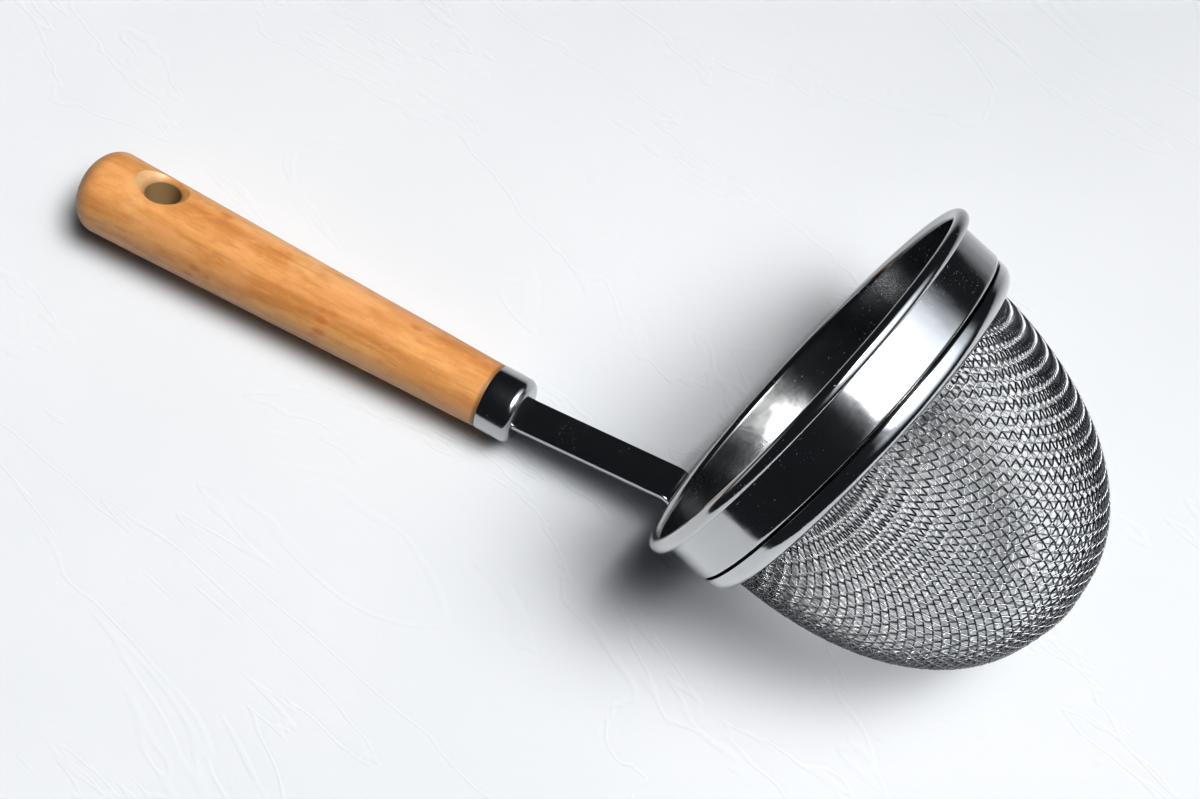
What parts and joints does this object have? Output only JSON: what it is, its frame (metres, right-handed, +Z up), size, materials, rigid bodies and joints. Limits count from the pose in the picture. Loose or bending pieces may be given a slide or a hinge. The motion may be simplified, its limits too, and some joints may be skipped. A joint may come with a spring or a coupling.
{
  "type": "tea strainer",
  "caption": "Deep round wire cloth strainer with a rolled steel rim, a flat steel strap and a turned wooden handle with a hanging hole, lying on its side.",
  "frame": {"origin": "centre of the bounding box, on the floor that the strainer lies on", "axes": "+Z up; +X level along the basket's axis, from the closed bottom to the open mouth, which is also the way the handle points; +Y to the side the handle lies on"},
  "size_m": [0.2248, 0.1126, 0.0876],
  "materials": {
    "wood": "satin lacquer",
    "polished_steel": "polished",
    "strap_steel": "polished",
    "rim_steel": "polished",
    "ring_steel": "polished",
    "wire_cloth": "bright drawn wire"
  },
  "bodies": {
    "root": {"handle_grip": "wood", "ferrule": "polished_steel", "strap": "strap_steel", "rim_band": "rim_steel", "mesh_ring": "ring_steel", "mesh_basket": "wire_cloth"}
  },
  "joints": []
}
